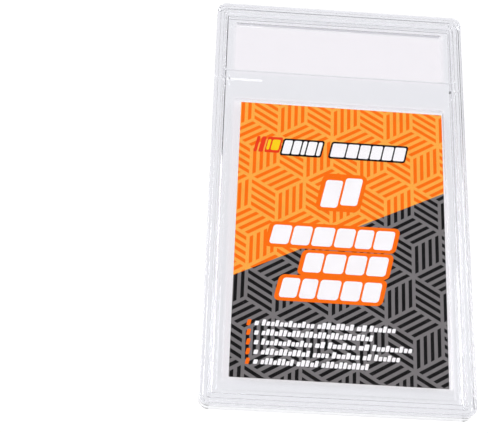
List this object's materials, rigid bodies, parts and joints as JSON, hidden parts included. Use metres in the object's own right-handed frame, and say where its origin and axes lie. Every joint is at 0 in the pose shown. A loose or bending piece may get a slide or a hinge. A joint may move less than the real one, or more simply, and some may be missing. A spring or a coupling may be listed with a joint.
{
  "type": "graded card slab",
  "caption": "Clear flat two-part slab that closes around a trading card, with a raised rim, a label window and a card window.",
  "frame": {"origin": "centre of the slab's outline on the plane of its back rim", "axes": "+X to the slab's right seen from the front, +Y up towards the label window, +Z out of the front face"},
  "size_m": [0.079, 0.132, 0.0064],
  "materials": {
    "rear_plastic": "clear, polished",
    "front_plastic": "clear, polished",
    "printed_card": "satin print"
  },
  "bodies": {
    "rear_half": {"rear_shell": "rear_plastic"},
    "front_half": {"front_shell": "front_plastic"},
    "card": {"insert_card": "printed_card"}
  },
  "joints": [
    {"name": "front_lift", "type": "slide", "parent": "rear_half", "child": "front_half", "axis": [0, 0, 1], "range_m": [0, 0.03]},
    {"name": "card_lift", "type": "slide", "parent": "rear_half", "child": "card", "axis": [0, 0, 1], "range_m": [0, 0.015]}
  ],
  "couplings": [
    {"joint": "card_lift", "follows": "front_lift", "ratio": 0.5}
  ]
}
